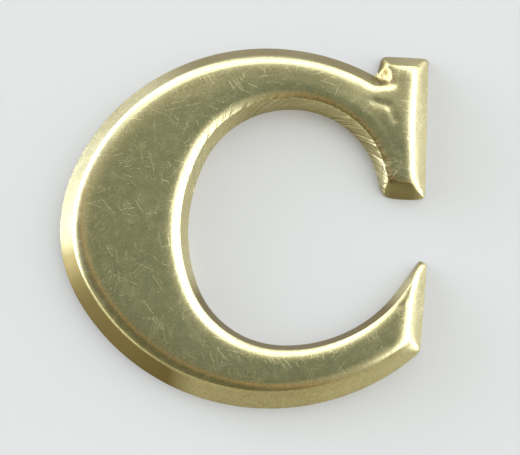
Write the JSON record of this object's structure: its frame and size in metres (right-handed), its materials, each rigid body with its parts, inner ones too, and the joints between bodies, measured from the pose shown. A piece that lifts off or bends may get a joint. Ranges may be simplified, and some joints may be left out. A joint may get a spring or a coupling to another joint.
{
  "type": "pressed brass letter",
  "caption": "Pressed sheet-brass capital letter with a serif, rounded shoulders and a hollow back holding tapped bosses for studs.",
  "frame": {"origin": "in the plane of the rim that rests on the wall or table, midway across the letter and midway up it", "axes": "+X in the reading direction, +Y towards the letter's top, +Z out of its face"},
  "size_m": [0.0488, 0.05, 0.0029],
  "materials": {
    "pressed_brass": "satin, hand-polished, with fine random scratches",
    "turned_brass": "turned, bright",
    "soft_solder": "dull grey tin solder"
  },
  "bodies": {
    "root": {"letter_shell": "pressed_brass", "bowl_boss": "turned_brass", "upper_boss": "turned_brass", "lower_boss": "turned_brass", "bowl_solder": "soft_solder", "upper_solder": "soft_solder", "lower_solder": "soft_solder"}
  },
  "joints": []
}
